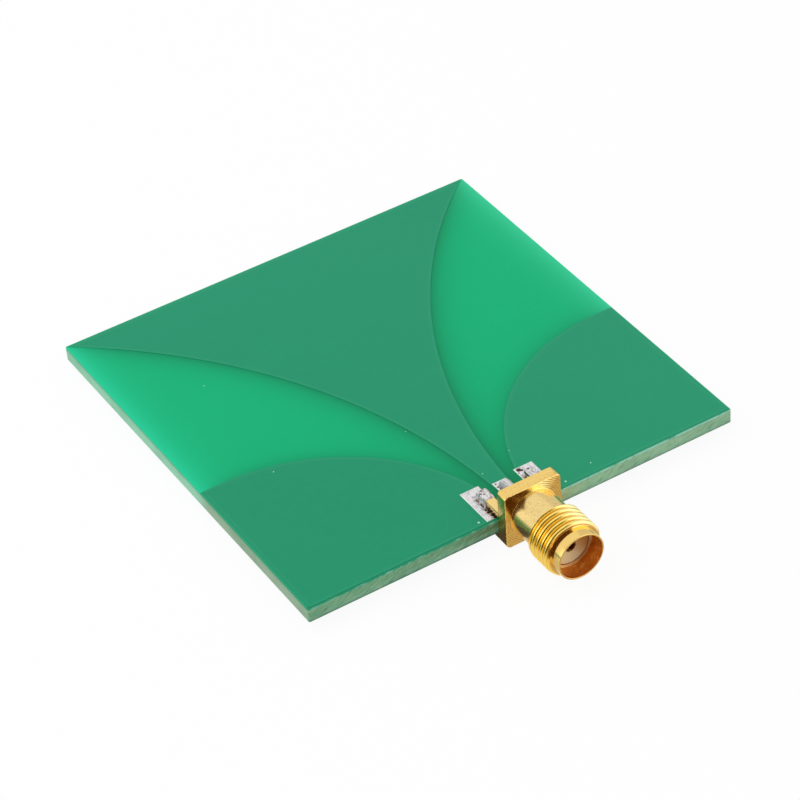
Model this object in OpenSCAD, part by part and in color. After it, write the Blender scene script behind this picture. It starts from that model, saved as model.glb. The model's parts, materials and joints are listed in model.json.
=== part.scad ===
// Planar ultra-wideband antenna: a square laminate board with an arc-flared
// radiator between two round-cornered ground planes, fed by an edge-launch jack.
// The frame's origin is on the jack's axis at its mating reference plane.
// +Y runs along the jack's axis into the board, +Z points out of the copper side.

/* [Board] */
// Width of the board, across the feed line
board_w = 50; // [40:0.5:70]
// Depth of the board, from the jack's edge to the far edge
board_d = 50; // [40:0.5:80]
// Thickness of the bare laminate
laminate_t = 1.5; // [0.8:0.1:2.4]
// Rounding of the board's four corners
corner_r = 0.2; // [0.1:0.1:2]

/* [Copper and solder mask] */
// Thickness of the copper foil
copper_t = 0.035; // [0.018:0.001:0.07]
// Thickness of the solder mask
mask_t = 0.025; // [0.015:0.005:0.05]
// Strip of bare laminate between the copper and the board's edges
copper_setback = 0.3; // [0.1:0.05:0.6]
// Width of the feed line at the jack's edge
feed_w = 1.6; // [1.4:0.1:2.4]
// Gap from the feed line to each ground plane at the jack's edge
feed_gap = 0.8; // [0.5:0.05:1]
// Radius of each ground plane's round inner corner
ground_r = 21; // [12:0.5:24]

/* [Soldering pads] */
// Reach of a leg's pad past the leg's outer side
pad_out = 1; // [0.6:0.1:2]
// Reach of a leg's pad past the leg's inner side
pad_in = 0.2; // [0.1:0.05:0.3]
// Reach of a leg's pad past the leg's end
pad_beyond = 1.7; // [1:0.1:3]
// Reach of the feed line's pad past the solder on the pin
pin_pad_beyond = 0.5; // [0.2:0.1:1.5]
// Lap of the mask over the copper between a pad and the jack's edge
pad_lap = 0.1; // [0.05:0.05:0.3]
// Clearance of the underside mask round its pads
window_clear = 0.05; // [0.02:0.01:0.1]

/* [Jack body] */
// Width across the flats of the square flange
flange_w = 6.55; // [6.35:0.05:8]
// Rounding of the flange's corners
flange_r = 0.5; // [0.2:0.05:0.8]
// Thickness of the flange
flange_t = 1.4; // [1:0.1:2.5]
// Diameter of the smooth neck
neck_d = 5.3; // [4.9:0.05:5.8]
// Length of the smooth neck
neck_l = 3.4; // [1:0.1:6]
// Outside diameter of the thread
thread_d = 6.35; // [6.1:0.05:6.4]
// Length of the thread with its end bevels
thread_l = 3.6; // [2.5:0.1:6]
// Depth of the thread, which its end bevels take off
thread_h = 0.42; // [0.3:0.02:0.5]
// Diameter of the smooth ring in front of the thread
ring_d = 5.25; // [5.15:0.05:5.5]
// Length of the smooth ring
ring_l = 1.2; // [0.6:0.1:2]
// Diameter of the mating bore
bore_d = 4.9; // [4.6:0.02:5]
// Depth of the mating bore, from the rim to the reference plane
bore_l = 1.9; // [1.5:0.05:2.5]
// Bevel of the bore's mouth
mouth_c = 0.05; // [0.03:0.01:0.1]
// Bevel of the rim's outer edge
rim_c = 0.05; // [0.03:0.01:0.1]

/* [Jack legs] */
// Width of a leg
leg_w = 1; // [0.7:0.05:1.2]
// Height of a leg
leg_h = 1; // [0.7:0.05:1.1]
// Length of a leg behind the flange
leg_l = 3.7; // [2.5:0.1:5]
// Clearance between a lower leg and its pad
leg_gap = 0.06; // [0.02:0.01:0.12]

/* [Insulator and contact] */
// Diameter of the insulator
insulator_d = 4.1; // [3.6:0.05:4.2]
// Diameter of the contact's socket
socket_d = 1.27; // [1.2:0.01:1.4]
// Diameter of the hole in the socket
socket_hole_d = 0.94; // [0.9:0.01:1]
// Depth of the hole in the socket
socket_hole_l = 2.8; // [2.4:0.1:4]
// Width of the slots that make the socket springy
slot_w = 0.2; // [0.12:0.02:0.3]
// Length of those slots
slot_l = 2.2; // [1.5:0.1:2.4]
// Diameter of the pin that lies on the feed line
pin_d = 0.9; // [0.7:0.05:1.1]
// Length of that pin behind the flange
pin_l = 3.6; // [2.5:0.1:4.5]
// Insulator left behind the contact's shoulder
shoulder_t = 0.6; // [0.4:0.1:1.2]
// Radial clearance of the insulator and the contact in their seats
fit_clear = 0.01; // [0.005:0.005:0.02]

/* [Solder] */
// Reach of the hollow fillets along the legs
fillet_r = 0.8; // [0.4:0.05:1]
// Thickness of the tinned layer on a pad
tin_t = 0.1; // [0.08:0.01:0.15]
// Length of a leg's end that is covered in solder
cap_l = 1.7; // [0.8:0.1:2.4]
// Thickness of the solder on a leg's end
cap_t = 0.12; // [0.08:0.02:0.2]
// Thickness of the solder over the pin
pin_film = 0.1; // [0.06:0.02:0.2]
// Strip of tinned pad left beside the solder on the pin
pin_margin = 0.05; // [0.03:0.01:0.1]

/* [Hidden] */
$fn = 96;
eps = 1;

// Stations along the jack's axis, from the reference plane
rim_y = -bore_l;
thread_y0 = rim_y + ring_l;
thread_y1 = thread_y0 + thread_l;
flange_y = thread_y1 + neck_l;
board_y = flange_y + flange_t;

// The upper legs and the pin lie on the strip of mask at the jack's edge
seat_h = copper_t + mask_t;
axis_h = seat_h + pin_d / 2;

// The flare leaves the jack's edge square to it and ends in the far corner
flare_x = board_w / 2 - feed_w / 2;
flare_r = (flare_x * flare_x + board_d * board_d) / (2 * flare_x);
ground_x = feed_w / 2 + feed_gap + ground_r;

// Legs and pads, from the centre line and the jack's edge
leg_out = flange_w / 2;
leg_in = leg_out - leg_w;
leg_low_h = laminate_t + copper_t + leg_gap;
pad_setback = copper_setback + pad_lap;
pad_x = leg_in - pad_in;
pad_w = pad_in + leg_w + pad_out;
pad_end = leg_l + pad_beyond;

// Solder on the pin: a round back as wide as the feed line, less its margin
back_w = feed_w / 2 - pin_margin;
back_h = mask_t + pin_d + pin_film;
back_r = (back_w * back_w + back_h * back_h) / (2 * back_h);
pin_pad_end = pin_l + back_w + pin_pad_beyond;

laminate_c = "#b4c49a";
copper_c = "#b87a4b";
mask_c = "#2f9d74";
solder_c = "#c9cac6";
gold_c = "#d8b25c";
insulator_c = "#d9cdb8";

// Moves what is drawn on the laminate's top face at the jack's edge into the frame
module on_board() {
    translate([0, board_y, -axis_h]) children();
}

// Extrudes an outline drawn in X and Z back along +Y, starting at y
module along_y(y, length) {
    translate([0, y + length, 0]) rotate([90, 0, 0]) linear_extrude(length) children();
}

// Turns a profile of radius and station about the jack's axis
module about_y() {
    rotate([-90, 0, 0]) rotate_extrude() children();
}

module left() {
    mirror([1, 0, 0]) children();
}

module rounded_rect(w, h, r) {
    square([w - 2 * r, h], center = true);
    square([w, h - 2 * r], center = true);
    if (r > 0)
        for (x = [-1, 1])
            for (y = [-1, 1])
                translate([x * (w / 2 - r), y * (h / 2 - r)]) circle(r);
}

module board_outline(inset = 0) {
    translate([0, board_d / 2])
        rounded_rect(board_w - 2 * inset, board_d - 2 * inset, max(corner_r - inset, 0));
}

// The part of the board that copper may cover, in from the edges all round
module copper_field(grow = 0) {
    board_outline(copper_setback - grow);
}

module leg_pad_outline(grow = 0) {
    translate([pad_x - grow, pad_setback - grow])
        square([pad_w + 2 * grow, pad_end - pad_setback + 2 * grow]);
}

module pin_pad_outline() {
    translate([-feed_w / 2, pad_setback]) square([feed_w, pin_pad_end - pad_setback]);
}

// The copper field between two round bites that meet the board's far corners
module radiator_outline(grow = 0) {
    difference() {
        copper_field(grow);
        for (side = [-1, 1])
            translate([side * (feed_w / 2 + flare_r), 0]) circle(flare_r - grow, $fn = 360);
    }
}

// The right ground plane, with a round corner towards the feed line
module ground_outline(grow = 0) {
    intersection() {
        copper_field(grow);
        union() {
            translate([ground_x, 0]) circle(ground_r + grow, $fn = 240);
            translate([ground_x, 0]) square([board_w, ground_r + grow]);
            leg_pad_outline(grow);
        }
    }
}

module copper_outline(grow = 0) {
    radiator_outline(grow);
    ground_outline(grow);
    left() ground_outline(grow);
}

module board_laminate() {
    color(laminate_c) on_board() translate([0, 0, -laminate_t])
        linear_extrude(laminate_t) board_outline();
}

module radiator_copper() {
    color(copper_c) on_board() linear_extrude(copper_t) radiator_outline();
}

module ground_copper() {
    color(copper_c) on_board() linear_extrude(copper_t) ground_outline();
}

// The mask steps up over the copper and is open over the pads
module top_solder_mask() {
    color(mask_c) on_board() difference() {
        union() {
            linear_extrude(mask_t) board_outline();
            linear_extrude(seat_h) copper_outline(mask_t);
        }
        translate([0, 0, -eps]) linear_extrude(copper_t + eps) copper_outline();
        translate([0, 0, -eps]) linear_extrude(seat_h + 2 * eps) {
            pin_pad_outline();
            leg_pad_outline();
            left() leg_pad_outline();
        }
    }
}

module bottom_solder_mask() {
    color(mask_c) on_board() translate([0, 0, -laminate_t - mask_t])
        linear_extrude(mask_t) difference() {
            board_outline();
            leg_pad_outline(window_clear);
            left() leg_pad_outline(window_clear);
        }
}

module bottom_pad() {
    color(copper_c) on_board() translate([0, 0, -laminate_t - copper_t])
        linear_extrude(copper_t) leg_pad_outline();
}

// Hollow corner that molten solder leaves between a pad and an upright wall
module fillet_outline(r) {
    difference() {
        square(r);
        translate([r, r]) circle(r);
    }
}

// Solder round the right leg, on a pad at z = 0 with the leg's near face at z = gap
module leg_solder(gap) {
    outer_r = min(fillet_r, pad_out, leg_h);
    inner_r = min(fillet_r, pad_in, leg_h);
    run = leg_l - pad_setback;
    difference() {
        union() {
            linear_extrude(tin_t) leg_pad_outline();
            translate([leg_out, 0, 0]) along_y(pad_setback, run) fillet_outline(outer_r);
            translate([leg_in, 0, 0]) left() along_y(pad_setback, run) fillet_outline(inner_r);
            translate([leg_in, leg_l, 0]) rotate([90, 0, 90])
                linear_extrude(leg_w) fillet_outline(outer_r);
            translate([leg_out, leg_l, 0]) rotate_extrude(angle = 90) fillet_outline(outer_r);
            translate([leg_in, leg_l, 0]) rotate([0, 0, 90])
                rotate_extrude(angle = 90) fillet_outline(inner_r);
            translate([leg_in, leg_l - cap_l, 0])
                cube([leg_w, cap_l + cap_t, gap + leg_h + cap_t]);
        }
        translate([leg_in, -eps, gap]) cube([leg_w, leg_l + eps, leg_h]);
    }
}

module top_solder() {
    color(solder_c) on_board() translate([0, 0, copper_t]) leg_solder(mask_t);
}

module bottom_solder() {
    color(solder_c) on_board() translate([0, 0, -laminate_t - copper_t])
        mirror([0, 0, 1]) leg_solder(leg_gap);
}

// Solder with a round back over the pin, and the tinned rest of its pad
module pin_solder() {
    color(solder_c) on_board() translate([0, 0, copper_t]) difference() {
        union() {
            linear_extrude(tin_t) pin_pad_outline();
            intersection() {
                translate([0, 0, back_h - back_r]) {
                    along_y(pad_setback, pin_l - pad_setback) circle(back_r);
                    translate([0, pin_l, 0]) sphere(back_r);
                }
                translate([-board_w / 2, 0, 0]) cube([board_w, board_d, back_h + eps]);
            }
        }
        translate([0, 0, mask_t + pin_d / 2]) along_y(-eps, pin_l + eps) circle(pin_d / 2);
    }
}

module flange_outline() {
    rounded_rect(flange_w, flange_w, flange_r);
}

// The four legs, milled from the flange's own bar
module leg_outline() {
    intersection() {
        flange_outline();
        for (side = [-1, 1])
            translate([side * (leg_out - leg_w / 2), -axis_h]) {
                translate([0, seat_h + leg_h / 2]) square([leg_w, leg_h], center = true);
                translate([0, -leg_low_h - leg_h / 2]) square([leg_w, leg_h], center = true);
            }
    }
}

// Half section of the barrel: neck, thread at its outside diameter, ring and bore
module barrel_profile() {
    neck_r = neck_d / 2;
    thread_r = thread_d / 2;
    ring_r = ring_d / 2;
    bore_r = bore_d / 2;
    polygon([
        [0, flange_y + flange_t / 2],
        [neck_r, flange_y + flange_t / 2],
        [neck_r, thread_y1],
        [thread_r - thread_h, thread_y1],
        [thread_r, thread_y1 - thread_h],
        [thread_r, thread_y0 + thread_h],
        [thread_r - thread_h, thread_y0],
        [ring_r, thread_y0],
        [ring_r, rim_y + rim_c],
        [ring_r - rim_c, rim_y],
        [bore_r + mouth_c, rim_y],
        [bore_r, rim_y + mouth_c],
        [bore_r, 0],
        [0, 0]
    ]);
}

module jack_body() {
    color(gold_c) difference() {
        union() {
            about_y() barrel_profile();
            along_y(flange_y, flange_t) flange_outline();
            along_y(board_y - flange_t / 2, leg_l + flange_t / 2) leg_outline();
        }
        along_y(-eps / 2, board_y + eps) circle(insulator_d / 2 + fit_clear);
    }
}

module jack_insulator() {
    socket_r = socket_d / 2 + fit_clear;
    pin_r = pin_d / 2 + fit_clear;
    shoulder_y = board_y - shoulder_t;
    color(insulator_c) about_y() polygon([
        [socket_r, 0],
        [insulator_d / 2, 0],
        [insulator_d / 2, board_y],
        [pin_r, board_y],
        [pin_r, shoulder_y],
        [socket_r, shoulder_y]
    ]);
}

// Female contact: a slotted socket at the mating end and a pin on the feed line
module centre_contact() {
    socket_r = socket_d / 2;
    hole_r = socket_hole_d / 2;
    color(gold_c) difference() {
        about_y() polygon([
            [hole_r, 0],
            [socket_r, 0],
            [socket_r, board_y - shoulder_t],
            [pin_d / 2, board_y - shoulder_t],
            [pin_d / 2, board_y + pin_l],
            [0, board_y + pin_l],
            [0, socket_hole_l],
            [hole_r, socket_hole_l]
        ]);
        for (turn = [0, 90])
            rotate([0, turn, 0]) translate([-socket_d, -eps, -slot_w / 2])
                cube([2 * socket_d, slot_l + eps, slot_w]);
    }
}

board_laminate();
radiator_copper();
left() ground_copper();  // left_ground_copper
ground_copper();  // right_ground_copper
top_solder_mask();
bottom_solder_mask();
left() bottom_pad();  // left_bottom_pad
bottom_pad();  // right_bottom_pad
left() top_solder();  // left_top_solder
top_solder();  // right_top_solder
pin_solder();
left() bottom_solder();  // left_bottom_solder
bottom_solder();  // right_bottom_solder
jack_body();
jack_insulator();
centre_contact();
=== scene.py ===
import json
import math

import bmesh
import bpy
import numpy as np
from mathutils import Matrix, Vector, noise

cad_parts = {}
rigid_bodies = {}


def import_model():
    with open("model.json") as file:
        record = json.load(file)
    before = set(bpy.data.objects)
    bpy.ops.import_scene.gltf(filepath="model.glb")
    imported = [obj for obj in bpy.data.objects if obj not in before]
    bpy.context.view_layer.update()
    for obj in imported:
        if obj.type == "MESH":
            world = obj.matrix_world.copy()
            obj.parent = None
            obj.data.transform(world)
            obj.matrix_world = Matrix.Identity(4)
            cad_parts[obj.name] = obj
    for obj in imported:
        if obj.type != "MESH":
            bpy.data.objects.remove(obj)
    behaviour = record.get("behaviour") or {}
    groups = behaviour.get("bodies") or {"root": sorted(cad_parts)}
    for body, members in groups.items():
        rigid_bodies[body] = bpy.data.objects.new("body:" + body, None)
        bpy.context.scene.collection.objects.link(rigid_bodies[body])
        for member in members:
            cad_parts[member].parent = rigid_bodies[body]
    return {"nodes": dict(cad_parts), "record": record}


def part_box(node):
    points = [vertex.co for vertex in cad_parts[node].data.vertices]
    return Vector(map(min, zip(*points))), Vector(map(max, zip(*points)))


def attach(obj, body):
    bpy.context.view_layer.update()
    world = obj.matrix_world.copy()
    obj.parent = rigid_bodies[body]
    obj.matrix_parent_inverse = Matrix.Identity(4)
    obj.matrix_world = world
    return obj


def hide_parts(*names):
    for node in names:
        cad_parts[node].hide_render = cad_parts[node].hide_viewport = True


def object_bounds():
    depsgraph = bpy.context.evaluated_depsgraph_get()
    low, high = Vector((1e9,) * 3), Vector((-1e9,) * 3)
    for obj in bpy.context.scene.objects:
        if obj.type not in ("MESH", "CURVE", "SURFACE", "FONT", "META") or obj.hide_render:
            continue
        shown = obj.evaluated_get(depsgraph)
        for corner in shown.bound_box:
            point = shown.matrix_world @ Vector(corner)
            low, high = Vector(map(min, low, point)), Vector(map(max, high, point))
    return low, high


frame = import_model()
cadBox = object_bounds()
nodes = frame["nodes"]
scene = bpy.context.scene
mm = 0.001  # sizes below are in millimetres, as on the drawing; meshes are in metres
print("frame loaded:", len(nodes), "solids")


def tone(red, green, blue):
    # screen colour, 0 to 255, to the linear colour that a shader takes
    def linear(value):
        value = value / 255
        return value / 12.92 if value <= 0.04045 else ((value + 0.055) / 1.055) ** 2.4

    return linear(red), linear(green), linear(blue), 1.0


class Wire:
    # an output socket; a sum written with it adds Math nodes to its bench
    def __init__(self, bench, socket):
        self.bench = bench
        self.socket = socket

    def __add__(self, other):
        return self.bench.calc("ADD", self, other)

    def __radd__(self, other):
        return self.bench.calc("ADD", other, self)

    def __sub__(self, other):
        return self.bench.calc("SUBTRACT", self, other)

    def __rsub__(self, other):
        return self.bench.calc("SUBTRACT", other, self)

    def __mul__(self, other):
        return self.bench.calc("MULTIPLY", self, other)

    def __rmul__(self, other):
        return self.bench.calc("MULTIPLY", other, self)

    def __truediv__(self, other):
        return self.bench.calc("DIVIDE", self, other)

    def __pow__(self, other):
        return self.bench.calc("POWER", self, other)

    def __abs__(self):
        return self.bench.calc("ABSOLUTE", self)


class Bench:
    # a node tree, and the one method that adds nodes to it
    def __init__(self, tree):
        self.tree = tree

    def node(self, kind, settings=None, sockets=None, out=0):
        made = self.tree.nodes.new(kind)
        for key, value in (settings or {}).items():
            setattr(made, key, value)
        for key, value in (sockets or {}).items():
            self.feed(made.inputs[key], value)
        return Wire(self, made.outputs[out])

    def feed(self, socket, value):
        if isinstance(value, Wire):
            self.tree.links.new(value.socket, socket)
        else:
            socket.default_value = value

    def calc(self, operation, *values):
        return self.node("ShaderNodeMath", {"operation": operation}, dict(enumerate(values)))

    def lower(self, first, second):
        return self.calc("MINIMUM", first, second)

    def higher(self, first, second):
        return self.calc("MAXIMUM", first, second)

    def root(self, value):
        return self.calc("SQRT", value)

    def fade(self, distance, reach):
        # 1 at no distance, dying away over the reach
        return self.calc("EXPONENT", self.higher(distance, 0.0) * (-1 / reach))

    def step(self, value, low, high):
        # smooth, from 0 at low to 1 at high; low may be the larger
        limits = {"Value": value, "From Min": low, "From Max": high}
        return self.node("ShaderNodeMapRange", {"interpolation_type": "SMOOTHSTEP"}, limits)

    def join(self, x, y, z):
        return self.node("ShaderNodeCombineXYZ", None, {"X": x, "Y": y, "Z": z})

    def split(self, vector):
        parts = self.node("ShaderNodeSeparateXYZ", None, {"Vector": vector})
        outputs = parts.socket.node.outputs
        return [Wire(self, outputs[axis]) for axis in "XYZ"]


class Finish(Bench):
    # a material on one Principled shader; fixed values go straight on its sockets
    def __init__(self, name, fixed):
        self.material = bpy.data.materials.new(name)
        self.material.use_nodes = True
        super().__init__(self.material.node_tree)
        self.shader = self.tree.nodes["Principled BSDF"]
        self.set(fixed)
        coordinates = self.node("ShaderNodeTexCoord", None, None, "Object")
        inMillimetres = {0: coordinates, "Scale": 1 / mm}
        self.place = self.node("ShaderNodeVectorMath", {"operation": "SCALE"}, inMillimetres)
        self.x, self.y, self.z = self.split(self.place)

    def set(self, values):
        for socket, value in values.items():
            self.feed(self.shader.inputs[socket], value)

    def mix(self, factor, first, second, how="MIX"):
        settings = {"data_type": "RGBA", "blend_type": how}
        return self.node("ShaderNodeMix", settings, {0: factor, 6: first, 7: second}, 2)

    def layered(self, colour, *layers):
        # each layer is a share and a colour, and lies over those before it
        for share, over in layers:
            colour = self.mix(share, colour, over)
        return colour

    def cloud(self, scale, detail=2.0, place=None, roughness=0.5):
        sockets = {"Vector": place or self.place, "Scale": scale, "Detail": detail}
        return self.node("ShaderNodeTexNoise", None, {**sockets, "Roughness": roughness})

    def bump(self, height, strength, depth):
        # depth is the height of one unit, in millimetres
        sockets = {"Height": height, "Strength": strength, "Distance": depth * mm}
        return self.node("ShaderNodeBump", None, sockets)

    def painted(self, name, output="Fac"):
        # a value or colour that is stored on the mesh
        return self.node("ShaderNodeAttribute", {"attribute_name": name}, None, output)


# places on the board, read from the frame
boardLow, boardHigh = (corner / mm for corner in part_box("board_laminate"))
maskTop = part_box("top_solder_mask")[1].z / mm
jackLow, jackHigh = (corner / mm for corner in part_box("jack_body"))
mounts = {mount["name"]: mount["dims"] for mount in frame["record"]["mounts"]}

board = {
    "feedWidth": 1.6,       # feed line at the jack's edge
    "feedGap": 0.8,         # from the feed line to each ground plane
    "groundRadius": 21.0,   # round inner corner of a ground plane
    "setback": 0.3,         # bare strip between the copper and the board's edges
}
halfBoard = boardHigh.x
frontEdge = boardLow.y
boardDepth = boardHigh.y - frontEdge
flareReach = halfBoard - board["feedWidth"] / 2
flareRadius = (flareReach ** 2 + boardDepth ** 2) / (2 * flareReach)
flareCentre = board["feedWidth"] / 2 + flareRadius
groundCentre = board["feedWidth"] / 2 + board["feedGap"] + board["groundRadius"]


lacquer = {
    "overCopper": tone(37, 145, 106),
    "overCopperRight": tone(42, 149, 110),
    "overCopperFar": tone(40, 147, 109),
    "overLaminate": tone(20, 177, 119),
    "radiatorShadow": tone(255, 202, 202),   # the copper shades the laminate beside it
    "groundShadow": tone(255, 226, 226),
    "jackShadow": tone(255, 230, 230),
    "sawnEdge": tone(38, 203, 152),      # light comes in through the cut side
    "sawnEdgeRight": tone(58, 203, 150),
    "frontStrip": tone(36, 140, 102),    # bare strip outside the copper, darker than open laminate as painted shade of the copper
    "frontStripRight": tone(42, 149, 110),
    "sideStrip": tone(44, 156, 114),
    "copperRim": tone(54, 156, 117),     # pale line where the lacquer thins over the copper's rim, with a painted highlight on that ridge
    "rimAway": 0.17, "rimWide": 0.09, "rimShare": 0.55,
    "radiatorShade": 1.3,            # how far the copper's shade reaches into the laminate
    "groundShade": 1.0,
    "jackShade": 12.0,
    "edgeGlow": 1.5,
    "blur": 0.04, "blurBelow": 0.5,  # the copper shows less sharply on the underside, where its pattern is painted shade seen through the laminate
    "stripBlur": 0.06,
    "turnover": 4.0,                 # left turns to right over this far beside the middle
    # places where one tone begins and ends to turn into another
    "rightFrom": (-12.0, 26.0), "rightWander": 8.0,
    "farFrom": (14.0, 60.0), "farWander": 14.0,
    "fineScale": 1.6, "broadScale": 0.09,
    "mottle": tone(225, 255, 240), "mottleShare": 0.05,
    "specular": 0.06, "specularBelow": 0.02,
    "roughness": 0.3, "unevenness": 0.12,
    "relief": 0.035, "reliefWide": 0.15,   # step over the copper's rim
    "glint": tone(206, 250, 236),        # painted highlight where the sheared front edge catches light here and there
    "glintPatches": 0.6, "glintWide": 0.07,
    "glintLeft": 0.42, "glintRight": 0.7, "glintFrom": (0.46, 0.66), "glintMore": 0.14,
    # specks of dust and solder on the upper side, as x, y and size
    "specks": [
        (-5.0, 8.55, 0.12), (5.3, 8.55, 0.11), (8.9, 9.4, 0.07), (-0.7, 14.4, 0.06),
        (-17.4, 27.1, 0.07), (-16.3, 43.2, 0.06), (3.4, 15.8, 0.05), (-3.4, 24.5, 0.05),
    ],
    "speck": tone(205, 240, 222),
}


def rightHalf(finish):
    return finish.step(finish.x, -lacquer["turnover"], lacquer["turnover"])


def glints(finish):
    # painted highlight in patches along the front edge, more and brighter on the right
    left, right = lacquer["glintLeft"], lacquer["glintRight"]
    patches = finish.cloud(1.0, 3.0, finish.join(finish.x * lacquer["glintPatches"], 0.0, 0.0), 0.6)
    onRight = rightHalf(finish)
    bright = finish.step(patches + onRight * lacquer["glintMore"], *lacquer["glintFrom"])
    return bright * (left + onRight * (right - left))


def lacquerFinish(name, upper):
    looks = lacquer
    shine = looks["specular"] if upper else looks["specularBelow"]
    paint = Finish(name, {"Specular IOR Level": shine, "IOR": 1.5})
    across = abs(paint.x)
    along = paint.y - frontEdge
    fromFlare = flareRadius - paint.root((flareCentre - across) ** 2 + along ** 2)
    sideways = paint.higher(groundCentre - across, 0.0)
    fromGround = paint.root(sideways ** 2 + along ** 2) - board["groundRadius"]
    fromCopper = paint.lower(fromFlare, fromGround)
    fromEdge = paint.lower(paint.lower(halfBoard - across, along), boardDepth - along)
    # on the underside the copper's pattern is painted shade seen through the laminate
    blur = looks["blur"] if upper else looks["blurBelow"]
    bare = paint.step(fromCopper, -blur, blur)
    setback, blur = board["setback"], looks["stripBlur"]
    strip = (1.0 - paint.step(fromEdge, setback - blur, setback + blur)) * (1.0 - bare)

    fine = paint.cloud(looks["fineScale"], 3.0)
    broad = paint.cloud(looks["broadScale"], 2.0)
    glass = looks["overLaminate"]
    shades = (
        (fromFlare, looks["radiatorShade"], looks["radiatorShadow"]),
        (fromGround, looks["groundShade"], looks["groundShadow"]),
        (along, looks["jackShade"], looks["jackShadow"]),
    )
    for distance, reach, shadow in shades:
        glass = paint.mix(paint.fade(distance, reach), glass, shadow, "MULTIPLY")
    onRight = rightHalf(paint)
    sawn = paint.mix(onRight, looks["sawnEdge"], looks["sawnEdgeRight"])
    glass = paint.mix(paint.fade(halfBoard - across, looks["edgeGlow"]), glass, sawn)
    right = paint.step(paint.x + broad * looks["rightWander"], *looks["rightFrom"])
    far = paint.step(along + broad * looks["farWander"], *looks["farFrom"])
    fromRim = paint.higher(fromCopper, setback - fromEdge)
    rim = paint.fade(abs(fromRim + looks["rimAway"]), looks["rimWide"]) * (1.0 - bare) * (1.0 - strip)
    frontal = paint.step(along, 0.6, 0.3)
    frontStrip = paint.mix(onRight, looks["frontStrip"], looks["frontStripRight"])
    colour = paint.layered(
        looks["overCopper"],
        (right, looks["overCopperRight"]),
        (far, looks["overCopperFar"]),
        # painted highlight and thinner lacquer along the copper's rim
        (rim * looks["rimShare"], looks["copperRim"]),
        (bare, glass),
        (strip, paint.mix(frontal, looks["sideStrip"], frontStrip)),
    )
    mottle = paint.step(fine * 0.6 + broad * 0.4, 0.3, 0.7)
    colour = paint.mix(mottle * looks["mottleShare"], colour, looks["mottle"], "SOFT_LIGHT")

    if upper:
        # painted highlight along the front edge
        edgeLight = paint.fade(along, looks["glintWide"]) * glints(paint)
        colour = paint.mix(edgeLight, colour, looks["glint"])
    for spotX, spotY, size in looks["specks"] if upper else ():
        reach = paint.root((paint.x - spotX) ** 2 + (paint.y - spotY) ** 2)
        colour = paint.mix(paint.step(reach, size * 1.25, size * 0.5), colour, looks["speck"])
    wide = looks["reliefWide"]
    height = (1.0 - paint.step(fromCopper, -wide, wide)) + fine * 0.05
    paint.set({
        "Base Color": colour,
        "Roughness": looks["roughness"] + mottle * looks["unevenness"],
        "Normal": paint.bump(height, 0.2, looks["relief"]),
    })
    return paint.material


laminate = {
    "front": tone(120, 176, 135),
    "frontRight": tone(156, 203, 162),
    # yellower beside the jack, as painted warm light from the gold jack
    "frontRightNear": tone(176, 198, 150),
    "frontShade": tone(88, 124, 80),     # left of the jack
    "side": tone(154, 183, 155),
    "sideBare": tone(154, 214, 182),     # beside the part of the board with no copper, lighter as painted light shining through the laminate
    # places where one tone begins and ends to turn into another
    "rightFrom": (1.0, 3.0), "nearTo": (8.0, 4.0), "shadeFrom": (-11.0, -3.5),
    # bands along the upper and the lower side, with their reach and strength
    "lacquered": (tone(64, 160, 122), 0.2, 0.95),     # lacquer that ran over the upper edge
    "lacqueredFront": (tone(98, 186, 142), 0.1, 0.75),
    "lowLight": (tone(140, 200, 172), 0.3, 0.45),     # light from the floor under the front edge
    # darker along the lowest part of the front edge
    "lowest": (tone(62, 98, 92), 0.13, 0.9),
    "lowLightRise": 0.36,
    "glintReach": 0.08,
    "streakDark": tone(70, 112, 78), "streakDarkFrom": (0.48, 0.34),
    "streakLight": tone(196, 214, 172), "streakLightFrom": (0.52, 0.68),
    "streakRise": 0.46,              # mill marks rise along the front edge
    "streakFine": 8.0, "streakLong": 0.8,
    "wear": 0.12, "wearFront": 0.6,  # how strongly the mill marks show
    "plies": 7, "plyShare": 0.08,    # woven layers in the thickness
    "blotchShare": 0.2,
    "specular": 0.2, "roughness": 0.6, "unevenness": 0.25, "relief": 0.03,
}


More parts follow.
